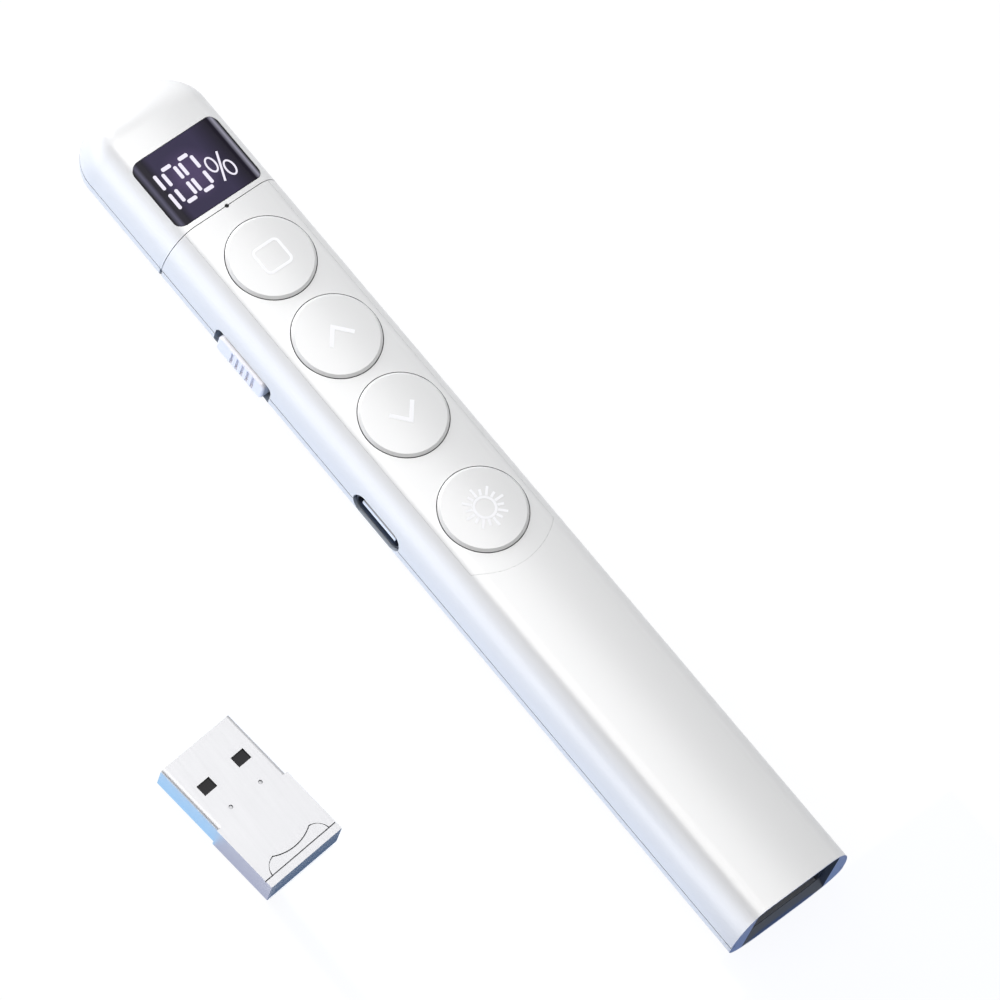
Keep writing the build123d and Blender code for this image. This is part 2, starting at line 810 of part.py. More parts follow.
def make_receiver_shell():
    """Metal plug whose top plate runs on over the grip."""
    shell = plug_tube(0, 0, plug_length) - plug_tube(plug_wall, -1, plug_length + 1)
    plate = block((plug_length, cover_end_x), (-grip_half, grip_half),
                  (receiver_top_z - plug_wall, receiver_top_z))
    tab = extrude(Plane.XY.offset(receiver_top_z - 2 * plug_wall) * tab_outline(cover_slit), BIG)
    shell += plate - tab
    for y in (-plug_hole_offset, plug_hole_offset):
        shell -= block((plug_hole_from_end - plug_hole_length / 2, plug_hole_from_end + plug_hole_length / 2),
                       (y - plug_hole_width / 2, y + plug_hole_width / 2), (-1, BIG))
    for y in (-dimple_offset, dimple_offset):
        shell -= post(dimple_from_end, y, (receiver_top_z - dimple_depth, BIG), dimple_radius)
    return place_receiver(shell)


def make_receiver_grip():
    """Plastic end that fills the plate's underside and comes up at its rear as the tab."""
    sides = (-grip_half, grip_half)
    grip = block((plug_length + fit_gap, receiver_length), sides, (0, receiver_top_z - plug_wall))
    long_edges = [e for e in grip.edges().filter_by(Axis.X) if e.center().Z < fit_gap]
    grip = fillet(long_edges, grip_bottom_radius)
    strip = block((cover_end_x + cover_slit, receiver_length), sides,
                  (receiver_top_z - 2 * plug_wall, receiver_top_z))
    tab = extrude(Plane.XY.offset(receiver_top_z - 2 * plug_wall) * tab_outline(0), 2 * plug_wall)
    grip += strip + tab
    grip -= block((cover_end_x, cover_end_x + cover_slit), sides,
                  (receiver_top_z - tab_groove_depth, receiver_top_z + 1))
    length, width, _ = receiver_board_size
    grip -= block((plug_length - 1, plug_length + length + bay_end_gap),
                  (-width / 2 - bay_end_gap, width / 2 + bay_end_gap),
                  (receiver_board_z[0], tongue_rear_top_z))
    return place_receiver(grip)


def make_receiver_tongue():
    """Plastic tongue under the top of the plug; its thinner rear runs back into the grip."""
    half = receiver_width / 2 - plug_corner - fit_gap
    front = block((plug_tongue_recess, plug_length), (-half, half), (tongue_z, tongue_top_z))
    length, width, _ = receiver_board_size
    rear = block((plug_length, plug_length + length), (-width / 2, width / 2),
                 (tongue_z, tongue_rear_top_z))
    return place_receiver(front + rear)


def make_receiver_contacts():
    length, width, thickness = plug_contact_size
    pads = []
    for i in range(plug_contact_count):
        y = (i - (plug_contact_count - 1) / 2) * plug_contact_pitch
        x = plug_tongue_recess * 2 + length / 2
        pad = Pos(x, y, tongue_z - thickness / 2) * Box(length, width, thickness)
        pads.append(place_receiver(pad))
    return pads


def make_receiver_board():
    length, width, _ = receiver_board_size
    board = block((plug_length + fit_gap, plug_length + length), (-width / 2, width / 2),
                  receiver_board_z)
    return place_receiver(board)


# ---------------------------------------------------------------- all pieces

def group(shapes):
    """Several separate solids that share one node."""
    return Compound(children=[s for shape in shapes for s in shape.solids()])


pieces = {
    "front_cover": make_front_cover(),
    "front_base": make_front_base(),
    "top_shell": make_top_shell(),
    "bottom_shell": make_bottom_shell(),
    "button_panel": make_button_panel(),
    "display_lens": make_display_lens(),
    "receiver_bay": make_receiver_bay(),
    "laser_window": make_laser_window(),
    "main_board": make_main_board(),
    "board_screws": group(make_board_screws()),
    "display_module": make_display_module(),
    "display_pins": group(make_display_pins()),
    "status_led": chip(head_joint_x, 0, *led_size),
    "light_pipe": make_light_pipe(),
    "radio_chip": chip(radio_x, chip_row, *radio_chip_size),
    "crystal": chip(radio_x, -chip_row, *crystal_size),
    "charge_chip": chip(socket_x, chip_row, *charge_chip_size),
    "antenna": chip(board_end_x - antenna_from_end, 0, *antenna_size),
    "tact_switch_cases": group([make_tact_case(x) for x in button_x]),
    "snap_domes": group([make_dome(x) for x in button_x]),
    "slide_switch_case": make_slide_case(),
    "usb_socket_shell": make_socket_shell(),
    "usb_socket_core": make_socket_core(),
    "usb_socket_contacts": group(make_socket_contacts()),
    "battery": make_battery(),
    "battery_pad": make_battery_pad(),
    "laser_barrel": make_laser_barrel(),
    "laser_lens": make_laser_lens(),
    "laser_leads": group(make_laser_leads()),
    "switch_knob": make_switch_knob(),
    "switch_slider": make_switch_slider(),
    "switch_lever": lever_block(0),
    "receiver_shell": make_receiver_shell(),
    "receiver_grip": make_receiver_grip(),
    "receiver_tongue": make_receiver_tongue(),
    "receiver_contacts": group(make_receiver_contacts()),
    "receiver_board": make_receiver_board(),
}
for name, x in zip(("screen", "previous", "next", "pointer"), button_x):
    pieces[name + "_button"] = make_button(x)
    pieces[name + "_plunger"] = make_plunger(x)

os.makedirs("parts", exist_ok=True)
for node, shape in pieces.items():
    export_step(shape, f"parts/{node}.step")
    print(node, len(shape.solids()), round(shape.volume, 2))
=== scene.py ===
# %% [markdown]
# # A presentation clicker and its USB receiver
#
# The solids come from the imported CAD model, in metres, in one shared frame: X runs along the
# clicker from nose to tail, the buttons look up along Z, and -Y is the side with the switch.
# Blender only dresses them: materials, printed icons, lit digits, light and a camera.

import math

import bmesh
import bpy
from mathutils import Matrix, Vector


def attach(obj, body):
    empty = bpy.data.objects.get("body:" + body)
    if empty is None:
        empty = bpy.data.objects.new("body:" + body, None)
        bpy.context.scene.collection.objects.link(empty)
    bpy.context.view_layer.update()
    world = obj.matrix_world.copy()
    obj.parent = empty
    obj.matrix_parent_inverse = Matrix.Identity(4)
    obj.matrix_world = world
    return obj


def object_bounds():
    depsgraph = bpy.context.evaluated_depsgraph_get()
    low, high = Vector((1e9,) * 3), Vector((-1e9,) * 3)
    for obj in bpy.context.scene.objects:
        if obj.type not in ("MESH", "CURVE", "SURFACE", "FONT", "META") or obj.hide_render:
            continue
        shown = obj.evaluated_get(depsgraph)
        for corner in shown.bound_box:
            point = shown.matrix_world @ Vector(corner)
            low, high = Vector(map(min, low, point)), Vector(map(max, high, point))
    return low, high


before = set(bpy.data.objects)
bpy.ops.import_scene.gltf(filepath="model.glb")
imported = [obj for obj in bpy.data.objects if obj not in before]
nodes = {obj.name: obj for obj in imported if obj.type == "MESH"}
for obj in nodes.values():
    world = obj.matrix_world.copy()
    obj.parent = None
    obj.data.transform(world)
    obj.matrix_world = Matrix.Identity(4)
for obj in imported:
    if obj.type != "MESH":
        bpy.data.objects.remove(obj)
cad_low, cad_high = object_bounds()
MM = 0.001

# %% [markdown]
# ## Camera
#
# A product shot like this one is taken from far away with a long lens, so that the case hardly
# tapers. The camera is described the way it would be set up: how far round the object it
# stands, how high, how far away, and how it is rolled. The aim is moved sideways and up by two
# small shifts, which place the object in the picture.

# %% Camera
CAMERA_AZIMUTH = 29.3687
CAMERA_ELEVATION = 63.6676
CAMERA_ROLL = 23.0295
CAMERA_DISTANCE = 907.9456 * MM
CAMERA_SHIFT = (29.7102 * MM, -31.4125 * MM)
AIM = Vector((-37.9, 0, 12.0)) * MM
LENS_MM = 252.0
SENSOR_MM = 36.0


def camera_axes(azimuth, elevation, roll):
    """Right, up and back of a camera, as unit vectors in the frame."""
    a, e, r = (math.radians(v) for v in (azimuth, elevation, roll))
    back = Vector((math.sin(a) * math.cos(e), -math.cos(a) * math.cos(e), math.sin(e)))
    level = Vector((math.cos(a), math.sin(a), 0))
    rise = back.cross(level)
    right = level * math.cos(r) + rise * math.sin(r)
    up = rise * math.cos(r) - level * math.sin(r)
    return right, up, back


right, up, back = camera_axes(CAMERA_AZIMUTH, CAMERA_ELEVATION, CAMERA_ROLL)
camera_data = bpy.data.cameras.new("product_camera")
camera_data.lens = LENS_MM
camera_data.sensor_width = SENSOR_MM
camera_data.clip_start = 0.05
camera_data.clip_end = 10
camera = bpy.data.objects.new("product_camera", camera_data)
bpy.context.scene.collection.objects.link(camera)
place = AIM + right * CAMERA_SHIFT[0] + up * CAMERA_SHIFT[1] + back * CAMERA_DISTANCE
turn = Matrix((right, up, back)).transposed().to_4x4()
camera.matrix_world = Matrix.Translation(place) @ turn
bpy.context.scene.camera = camera
print("camera at", [round(v, 4) for v in place])

# %% [markdown]
# ## Colours and material nodes
#
# Colours are written as sRGB hex values, as a designer would give them, and one function turns
# them to the linear values that Blender computes with. One more function adds a shader node
# with its settings and its inputs. Every finish below is built with these two.

# %% Helpers for colours and nodes


def srgb(hex_code):
    """Linear RGBA for a colour written as #rrggbb."""
    channels = [int(hex_code[i:i + 2], 16) / 255 for i in (1, 3, 5)]
    linear = [c / 12.92 if c <= 0.04045 else ((c + 0.055) / 1.055) ** 2.4 for c in channels]
    return (*linear, 1.0)


def add_node(tree, kind, settings=None, inputs=None):
    """Adds a node. An input takes a value, a socket, or a node, which gives its first output."""
    node = tree.nodes.new(kind)
    for name, value in (settings or {}).items():
        setattr(node, name, value)
    for name, value in (inputs or {}).items():
        if isinstance(value, bpy.types.Node):
            value = value.outputs[0]
        if isinstance(value, bpy.types.NodeSocket):
            tree.links.new(value, node.inputs[name])
        else:
            node.inputs[name].default_value = value
    return node


def new_material(name):
    """An empty node material and its tree."""
    material = bpy.data.materials.new(name)
    material.use_nodes = True
    material.node_tree.nodes.clear()
    return material, material.node_tree


def dress(node_names, material):
    """Gives CAD nodes one material all over."""
    for name in node_names:
        mesh = nodes[name].data
        mesh.materials.clear()
        mesh.materials.append(material)
    print(material.name, "on", ", ".join(node_names))


# %% [markdown]
# ## White sprayed plastic
#
# The case is ABS, injection moulded in a tool with a fine spark-eroded texture, and then
# sprayed white. That gives a satin surface: mostly diffuse, with one broad soft reflection
# (IOR about 1.5, roughness about 0.3). The texture is a grain of about 0.15 mm, too fine to
# see at this distance but enough to break the reflection a little, and so it is drawn a
# little coarser. Colour varies by a percent or two over a few centimetres, as sprayed paint
# does. The paint holds a little pearl, which is the small metallic share: it brightens where
# the lamp mirrors and dims elsewhere, more than plain white paint would.
#
# Three things make a sprayed case look real close up: painted shade in its seams, painted shade
# on the walls of its windows, joints and mouth, and a section whose curve has no facets. Each
# could be painted into an image and wrapped round the case. Here each is worked out from the
# shape itself, so it stays right where a piece moves.

# %% Section of the case, in mm
CROWN_HALF = 5.4            # half width of the flat top
CROWN_RISE = 0.30           # how far the moulded top bulges between its edges
SHOULDER_HALF = 4.3         # width and height of an elliptical shoulder
SHOULDER_RISE = 7.8
JOINT_Z = 4.2               # height of the closing line
MIDDLE_Z = 6.0              # half the height of the case
tail_x = cad_high[0] / MM
print("case:", 2 * (CROWN_HALF + SHOULDER_HALF), "mm wide,", JOINT_Z + SHOULDER_RISE, "mm high,",
      "tail at", round(tail_x, 2), "mm")

# %% [markdown]
# Shade is painted into the seams of the case: a face turns darker where another surface stands
# within half a millimetre of it. The ambient occlusion node measures how much open sky a spot
# has within that reach.

# %% Painted shade in the seams
SEAM_SHADE = "#30333a"
SEAM_REACH = 0.5            # in mm
OPEN_SKY = (0.2, 0.7)       # share of open sky where the painted shade is full, and where it ends


def shaded_seams(tree, paint):
    """The paint's colour, darkened by painted shade where another surface stands close."""
    sky_share = add_node(tree, "ShaderNodeAmbientOcclusion", {"samples": 8},
                         {"Distance": SEAM_REACH * MM}).outputs["AO"]
    unshaded = add_node(tree, "ShaderNodeMapRange", {},
                     {"Value": sky_share, "From Min": OPEN_SKY[0], "From Max": OPEN_SKY[1]})
    seam_shaded = add_node(tree, "ShaderNodeMix", {"data_type": "RGBA"},
                      {"Factor": unshaded, "A": srgb(SEAM_SHADE), "B": paint})
    return seam_shaded.outputs["Result"]


# %% [markdown]
# The walls of a window, a joint and the tail's mouth lie in shade, and that shade is painted on
# them as dark grey. They could be given a second material by picking faces, but they are easier
# to find by where they lie and which way they face.

# %% Masks for painted shade on walls, in mm
WALL_SHADE, MOUTH_SHADE = "#8a9099", "#6e747b"
WALL_X = (-70, tail_x - 2)  # the walls of the side's windows and joints lie between these
WALL_Y = (8.0, 9.65)
WALL_Z = (1.5, 7.5)
MOUTH_X = (tail_x - 1.07, tail_x - 0.02)
FACES_IN = -0.05            # a mouth wall looks back towards the case's axis at least this far
FACES_SIDE = 0.5            # the outer skin faces sideways by more than this, a wall by less


def within(tree, length, low, high):
    """Mask that is 1 where a length lies between two values in mm."""
    return add_node(tree, "ShaderNodeMath", {"operation": "COMPARE"},
                    {0: length, 1: (low + high) / 2 * MM, 2: (high - low) / 2 * MM})


def where_all(tree, first, *others):
    """Mask that is 1 where every one of the given masks is 1."""
    for other in others:
        first = add_node(tree, "ShaderNodeMath", {"operation": "MULTIPLY"}, {0: first, 1: other})
    return first


# %% Painted shade on walls


def painted_wall_shade(tree, place, paint):
    """The paint's colour, and painted shade in grey on the walls of the mouth, joints and windows.
    """
    facing = add_node(tree, "ShaderNodeNewGeometry").outputs["True Normal"]
    at = add_node(tree, "ShaderNodeSeparateXYZ", {}, {"Vector": place}).outputs
    towards = add_node(tree, "ShaderNodeSeparateXYZ", {}, {"Vector": facing}).outputs

    # Walls of the mouth: there the way out from the case's axis is against the face.
    from_axis = add_node(tree, "ShaderNodeVectorMath", {"operation": "SUBTRACT"},
                         {0: place, 1: Vector((0, 0, MIDDLE_Z)) * MM})
    across = add_node(tree, "ShaderNodeVectorMath", {"operation": "MULTIPLY"},
                      {0: from_axis, 1: (0, 1, 1)})
    outward = add_node(tree, "ShaderNodeVectorMath", {"operation": "DOT_PRODUCT"},
                       {0: across, 1: facing}).outputs["Value"]
    inward = add_node(tree, "ShaderNodeMath", {"operation": "LESS_THAN"},
                      {0: outward, 1: FACES_IN * MM})
    mouth = where_all(tree, inward, within(tree, at["X"], *MOUTH_X))

    # Walls of the joints and windows in the sides: near the side, but not facing sideways.
    sideways = add_node(tree, "ShaderNodeMath", {"operation": "ABSOLUTE"}, {0: towards["Y"]})
    level = add_node(tree, "ShaderNodeMath", {"operation": "LESS_THAN"},
                     {0: sideways, 1: FACES_SIDE})
    off_middle = add_node(tree, "ShaderNodeMath", {"operation": "ABSOLUTE"}, {0: at["Y"]})
    walls = where_all(tree, level, within(tree, off_middle, *WALL_Y),
                      within(tree, at["Z"], *WALL_Z), within(tree, at["X"], *WALL_X))

    for mask, colour in ((walls, WALL_SHADE), (mouth, MOUTH_SHADE)):
        paint = add_node(tree, "ShaderNodeMix", {"data_type": "RGBA"},
                         {"Factor": mask, "A": paint, "B": srgb(colour)}).outputs["Result"]
    return paint


# %% [markdown]
# The section is a flat top between two elliptical shoulders. The solids come as facets, and
# where the panel ends on a shoulder its last facet would catch the light differently from its
# neighbour. Finer facets would help only a little, so the direction of the surface is worked
# out from the section itself: on an ellipse it is the way from the middle, with each part
# divided by that half axis squared.

# %% Direction of the section's surface
ALIKE = 0.97                # a face follows the section where the two directions agree this far
CLEAR_OF_JOINT = 0.3        # and only this far above the closing line, in mm


def section_normal(tree, place):
    """Exact direction of the flat top and the elliptical shoulders, where a face follows it."""
    facing = add_node(tree, "ShaderNodeNewGeometry").outputs["Normal"]
    at = add_node(tree, "ShaderNodeSeparateXYZ", {}, {"Vector": place}).outputs
    off_middle = add_node(tree, "ShaderNodeMath", {"operation": "ABSOLUTE"}, {0: at["Y"]})
    past_flat = add_node(tree, "ShaderNodeMath", {"operation": "SUBTRACT"},
                         {0: off_middle, 1: CROWN_HALF * MM})
    reach = add_node(tree, "ShaderNodeMath", {"operation": "MAXIMUM"}, {0: past_flat, 1: 0.0})
    side = add_node(tree, "ShaderNodeMath", {"operation": "SIGN"}, {0: at["Y"]})
    out = add_node(tree, "ShaderNodeMath", {"operation": "MULTIPLY"}, {0: side, 1: reach})
    rise = add_node(tree, "ShaderNodeMath", {"operation": "SUBTRACT"},
                    {0: at["Z"], 1: JOINT_Z * MM})

    lean = add_node(tree, "ShaderNodeMath", {"operation": "MULTIPLY"},
                    {0: out, 1: SHOULDER_HALF ** -2})
    stand = add_node(tree, "ShaderNodeMath", {"operation": "MULTIPLY"},
                     {0: rise, 1: SHOULDER_RISE ** -2})
    both = add_node(tree, "ShaderNodeCombineXYZ", {}, {"Y": lean, "Z": stand})
    exact = add_node(tree, "ShaderNodeVectorMath", {"operation": "NORMALIZE"}, {0: both})

    likeness = add_node(tree, "ShaderNodeVectorMath", {"operation": "DOT_PRODUCT"},
                        {0: exact, 1: facing}).outputs["Value"]
    follows = add_node(tree, "ShaderNodeMath", {"operation": "GREATER_THAN"},
                       {0: likeness, 1: ALIKE})
    above = add_node(tree, "ShaderNodeMath", {"operation": "GREATER_THAN"},
                     {0: rise, 1: CLEAR_OF_JOINT * MM})
    choose = add_node(tree, "ShaderNodeMix", {"data_type": "VECTOR"},
                      {"Factor": where_all(tree, follows, above), 4: facing, 5: exact})
    return choose.outputs[1]


# %% [markdown]
# ## Moulded plastic
#
# One function makes every moulded plastic of the object: a colour that drifts a little, a fine
# grain, and, where asked for, painted shade in the seams and on the walls and the crown of the
# top. The real top bulges by a third of a millimetre, which only its highlight shows.

# %% Moulded plastic
GRAIN, GRAIN_DEPTH = 0.25, 0.004    # in mm, coarser than the real grain so that it shows
COLOUR_DRIFT = 30                   # in mm


def moulded_plastic(name, colour, shade, roughness, flake=0.0, ior=1.5, crown=0.0,
                    shade_seams=False, shade_walls_and_section=False):
    """Satin moulded plastic whose colour drifts from colour to shade; crown is in mm."""
    material, tree = new_material(name)
    place = add_node(tree, "ShaderNodeTexCoord").outputs["Object"]
    drift = add_node(tree, "ShaderNodeTexNoise", {},
                     {"Vector": place, "Scale": 1 / (COLOUR_DRIFT * MM), "Detail": 2.0})
    paint = add_node(tree, "ShaderNodeMix", {"data_type": "RGBA"},
                     {"Factor": drift.outputs["Fac"], "A": srgb(colour),
                      "B": srgb(shade)}).outputs["Result"]
    # Painted shade on the walls of windows, joints and the mouth, where shade falls.
    if shade_walls_and_section:
        paint = painted_wall_shade(tree, place, paint)
    # Painted shade in the seams: darker where another surface stands close.
    if shade_seams:
        paint = shaded_seams(tree, paint)

    grain = add_node(tree, "ShaderNodeTexNoise", {},
                     {"Vector": place, "Scale": 1 / (GRAIN * MM), "Detail": 1.0})
    surface = add_node(tree, "ShaderNodeBump", {},
                       {"Height": grain.outputs["Fac"], "Strength": 1.0,
                        "Distance": GRAIN_DEPTH * MM})
    if shade_walls_and_section:
        tree.links.new(section_normal(tree, place), surface.inputs["Normal"])
    if crown:
        across = add_node(tree, "ShaderNodeSeparateXYZ", {}, {"Vector": place}).outputs["Y"]
        squared = add_node(tree, "ShaderNodeMath", {"operation": "POWER"}, {0: across, 1: 2.0})
        sag = add_node(tree, "ShaderNodeMath", {"operation": "MULTIPLY"},
                       {0: squared, 1: -crown * MM / (CROWN_HALF * MM) ** 2})
        surface = add_node(tree, "ShaderNodeBump", {},
                           {"Height": sag, "Normal": surface, "Strength": 1.0, "Distance": 1.0})
    shader = add_node(tree, "ShaderNodeBsdfPrincipled", {},
                      {"Base Color": paint, "Roughness": roughness, "IOR": ior,
                       "Metallic": flake, "Normal": surface})
    add_node(tree, "ShaderNodeOutputMaterial", {}, {"Surface": shader})
    return material


# %% Sprayed case and caps
SPRAYED = {"roughness": 0.32, "flake": 0.14, "crown": CROWN_RISE}

# White paint on ABS: an even satin white, with a broad highlight, and with painted shade in its
# seams and on the walls of its windows, joints and mouth.
white_case = moulded_plastic("white_sprayed_abs", "#dcdcdc", "#d9d9d9", shade_seams=True, shade_walls_and_section=True,
                             **SPRAYED)
dress(["front_base", "top_shell", "bottom_shell", "button_panel"], white_case)
# The head gets no painted shade in its seams, so none lies round the glass.
dress(["front_cover"], moulded_plastic("white_sprayed_abs_head", "#dcdcdc", "#d9d9d9", **SPRAYED))
# The caps are sprayed by themselves and come out a hair darker, with painted shade in their seams.
white_caps = moulded_plastic("white_sprayed_abs_buttons", "#dbdbdb", "#d8d8d8", shade_seams=True,
                             **SPRAYED)
dress([n for n in nodes if n.endswith("_button")], white_caps)

# %% [markdown]
# The small plastic parts are coloured through and left as they come out of the mould, so they
# are duller than the sprayed case, and a scratch wouldn't show on them. Each is the plastic
# that such a part is usually made of.

# %% Plastics coloured through
# Bare white ABS: a cool white with a soft sheen.
dress(["switch_knob"], moulded_plastic("white_abs_knob", "#e8e6ea", "#e3e1e6", 0.4))
# Nylon slides well: dark grey, and half dull.
dark_nylon = moulded_plastic("dark_nylon", "#2b2d33", "#24262b", 0.5)
dress([n for n in nodes if n.endswith("_plunger")], dark_nylon)
dress(["switch_slider", "switch_lever", "tact_switch_cases", "display_module"], dark_nylon)
# PBT is hard and keeps its size: black, and so deep in the plug that it mirrors little.
dress(["receiver_tongue"],
      moulded_plastic("black_pbt_tongue", "#131317", "#0f0f12", 0.4, ior=1.3))
# Liquid crystal polymer stands the heat of soldering: a clean milky white.
dress(["usb_socket_core"], moulded_plastic("white_lcp_tongue", "#eceef2", "#e6e8ec", 0.4))
# Bare grey ABS, moulded by itself: a dull dark liner.
dress(["receiver_bay"], moulded_plastic("dark_grey_abs_bay", "#3d4146", "#383c41", 0.5))

# %% [markdown]
# ## Plated metal
#
# Metals are metallic 1 and keep the default IOR: their base colour is what they reflect.
# The receiver's plug is stamped steel with satin nickel plating, smooth but not polished, and
# its grip is painted to match. The socket's shell in the side is plated dark. Rolled sheet has
# faint streaks along its length, and a noise that is stretched along X gives them.

# %% Plated metal
STREAK = 0.4                # width of a rolling streak, in mm


def plated_metal(name, colour, roughness, shade_seams=False):
    """Metal with faint streaks along X, as rolled sheet has."""
    material, tree = new_material(name)
    place = add_node(tree, "ShaderNodeTexCoord").outputs["Object"]
    stretched = add_node(tree, "ShaderNodeMapping", {}, {"Vector": place, "Scale": (0.05, 1, 1)})
    streaks = add_node(tree, "ShaderNodeTexNoise", {},
                       {"Vector": stretched, "Scale": 1 / (STREAK * MM), "Detail": 2.0})
    spread = add_node(tree, "ShaderNodeMapRange", {},
                      {"Value": streaks.outputs["Fac"], "To Min": roughness * 0.9,
                       "To Max": roughness * 1.1})
    # Where asked, shade is painted into the metal's seams.
    tint = shaded_seams(tree, srgb(colour)) if shade_seams else srgb(colour)
    shader = add_node(tree, "ShaderNodeBsdfPrincipled", {},
                      {"Base Color": tint, "Metallic": 1.0, "Roughness": spread})
    add_node(tree, "ShaderNodeOutputMaterial", {}, {"Surface": shader})
    return material


# %% Metal pieces
# Bright nickel over steel: a light, slightly cool grey with soft reflections.
nickel_steel = plated_metal("nickel_plated_steel", "#c3c5c9", 0.35)
dress(["board_screws", "slide_switch_case", "snap_domes", "crystal",
       "display_pins", "laser_leads"], nickel_steel)
# Black nickel: the same sheen, but a dark blue grey.
dress(["usb_socket_shell"], plated_metal("black_nickel_socket", "#5c6270", 0.35))
# Satin nickel, blasted before it was plated: reflections spread into an even grey. Shade is
# painted into its seams and slits.
plug_nickel = plated_metal("satin_nickel_plug", "#b4b4b6", 0.5, shade_seams=True)
dress(["receiver_shell", "receiver_grip"], plug_nickel)
# A flash of gold over nickel: warm, and nearly a mirror.
gold = plated_metal("gold_plated_contacts", "#e8c36a", 0.25)
dress(["usb_socket_contacts", "receiver_contacts"], gold)
# Brass as it leaves the lathe: yellow, with fine bright streaks.
dress(["laser_barrel"], plated_metal("turned_brass", "#c9a55a", 0.3))
# Aluminium foil round the cell: pale and slightly dull.
dress(["battery"], plated_metal("battery_foil", "#c4c7cc", 0.45))

# %% [markdown]
# ## Boards, chips and optics
#
# Nearly all of these lie inside the closed case. They have their real colours all the same,
# because someone may take the case off. The laser's optics are clear acrylic, which is
# modelled as a solid that light goes through.

# %% Boards and chips
# Solder mask is a lacquer: green, with a soft gloss.
solder_mask = moulded_plastic("green_solder_mask", "#0f5a34", "#0c4f2e", 0.35)
dress(["main_board", "receiver_board"], solder_mask)
# Chips are cast in filled epoxy: nearly black, and dull. The foam under the battery looks the
# same, and shares it.
epoxy_black = moulded_plastic("black_epoxy_chip", "#17181a", "#131416", 0.6)
dress(["radio_chip", "charge_chip", "battery_pad"], epoxy_black)
# Fired ceramic: an off-white with little sheen.
ceramic = moulded_plastic("antenna_ceramic", "#d8d2c4", "#d2ccbd", 0.5)
dress(["antenna", "status_led"], ceramic)

# %% Optics


def clear_acrylic(name, colour, roughness):
    """Acrylic that light goes through."""
    material, tree = new_material(name)
    shader = add_node(tree, "ShaderNodeBsdfPrincipled", {},
                      {"Base Color": srgb(colour), "Roughness": roughness, "IOR": 1.49,
                       "Transmission Weight": 1.0})
    add_node(tree, "ShaderNodeOutputMaterial", {}, {"Surface": shader})
    return material


# Red acrylic passes the laser and looks black-red by day.
dress(["laser_window"], clear_acrylic("red_acrylic_window", "#7a1018", 0.05))
dress(["laser_lens"], clear_acrylic("clear_acrylic_lens", "#f4f6f8", 0.03))
# The lamp under the pinhole is off, so its smoked pipe shows as a black dot.
dress(["light_pipe"],
      moulded_plastic("smoked_acrylic_pipe", "#0d0d10", "#0a0a0c", 0.3, ior=1.3))

# %% [markdown]
# ## Display window
#
# The window is smoked acrylic with an anti-reflective coat, so it mirrors less than bare
# acrylic (IOR 1.2 instead of 1.49). Its two sides are bent down over the case. Such a bend
# shows a thin streak of studio light with dark on both sides of it, brighter on the side that
# looks at the lamp. A ramp across the window paints these into its colour as a painted
# reflection, and it goes nearly black at the rim. The violet light that the lit number spills
# into the smoke round it is a painted glow.

# %% Colours across the window
WINDOW_HALF = 7.04          # in mm, as are the places across it
# BEND and the two pale stops beside it are the painted reflection in the bent sides; SPILL is a
# painted glow of the lit number.
BORDER, BEND, SMOKE, SPILL = "#0e0d13", "#15111f", "#322c46", "#4c3f61"
ACROSS_WINDOW = [(-6.95, BORDER), (-6.5, "#4f4d61"), (-6.05, BEND), (-5.4, BEND),
                 (-4.4, SMOKE), (2.5, SMOKE), (5.4, BEND), (5.8, BEND), (6.4, "#9694a3"),
                 (6.85, BORDER)]
READOUT_MIDDLE = Vector((-53.4, -1.0, 12.0))
SPILL_REACH = (4.5, 1.0)    # the spill starts this far from the read-out, and is full at this

# %% Display window


def smoked_window(name):
    """Smoked acrylic: a ramp across it paints the reflection in its bent sides, and a painted glow
    spills round the number.
    """
    material, tree = new_material(name)
    place = add_node(tree, "ShaderNodeTexCoord").outputs["Object"]
    across = add_node(tree, "ShaderNodeSeparateXYZ", {}, {"Vector": place}).outputs["Y"]
    share = add_node(tree, "ShaderNodeMapRange", {},
                     {"Value": across, "From Min": -WINDOW_HALF * MM,
                      "From Max": WINDOW_HALF * MM})
    ramp = add_node(tree, "ShaderNodeValToRGB", {}, {"Fac": share})
    stops = ramp.color_ramp.elements
    while len(stops) < len(ACROSS_WINDOW):
        stops.new(1.0)
    for stop, (y, _) in zip(stops, ACROSS_WINDOW):
        stop.position = (y + WINDOW_HALF) / (2 * WINDOW_HALF)
    for stop, (_, colour) in zip(stops, ACROSS_WINDOW):
        stop.color = srgb(colour)

    away = add_node(tree, "ShaderNodeVectorMath", {"operation": "DISTANCE"},
                    {0: place, 1: READOUT_MIDDLE * MM}).outputs["Value"]
    spill = add_node(tree, "ShaderNodeMapRange", {"interpolation_type": "SMOOTHSTEP"},
                     {"Value": away, "From Min": SPILL_REACH[0] * MM,
                      "From Max": SPILL_REACH[1] * MM})
    smoke = add_node(tree, "ShaderNodeMix", {"data_type": "RGBA"},
                     {"Factor": spill, "A": ramp.outputs["Color"], "B": srgb(SPILL)})
    shader = add_node(tree, "ShaderNodeBsdfPrincipled", {},
                      {"Base Color": smoke.outputs["Result"], "Roughness": 0.16, "IOR": 1.2})
    add_node(tree, "ShaderNodeOutputMaterial", {}, {"Surface": shader})
    return material


dress(["display_lens"], smoked_window("smoked_acrylic_display_window"))

# %% [markdown]
# ## Printed and lit marks
#
# The marks on the caps are pad printed: a soft pad lays down a film of white ink about a
# fiftieth of a millimetre thick. They could be painted by a texture, but a film modelled as
# geometry keeps a sharp edge at any zoom, needs no image, and moves with the cap it is printed
# on. The number behind the window is made of lit bars, drawn the same way and given a
# material that glows.

# %% Films of ink
INK = 0.02


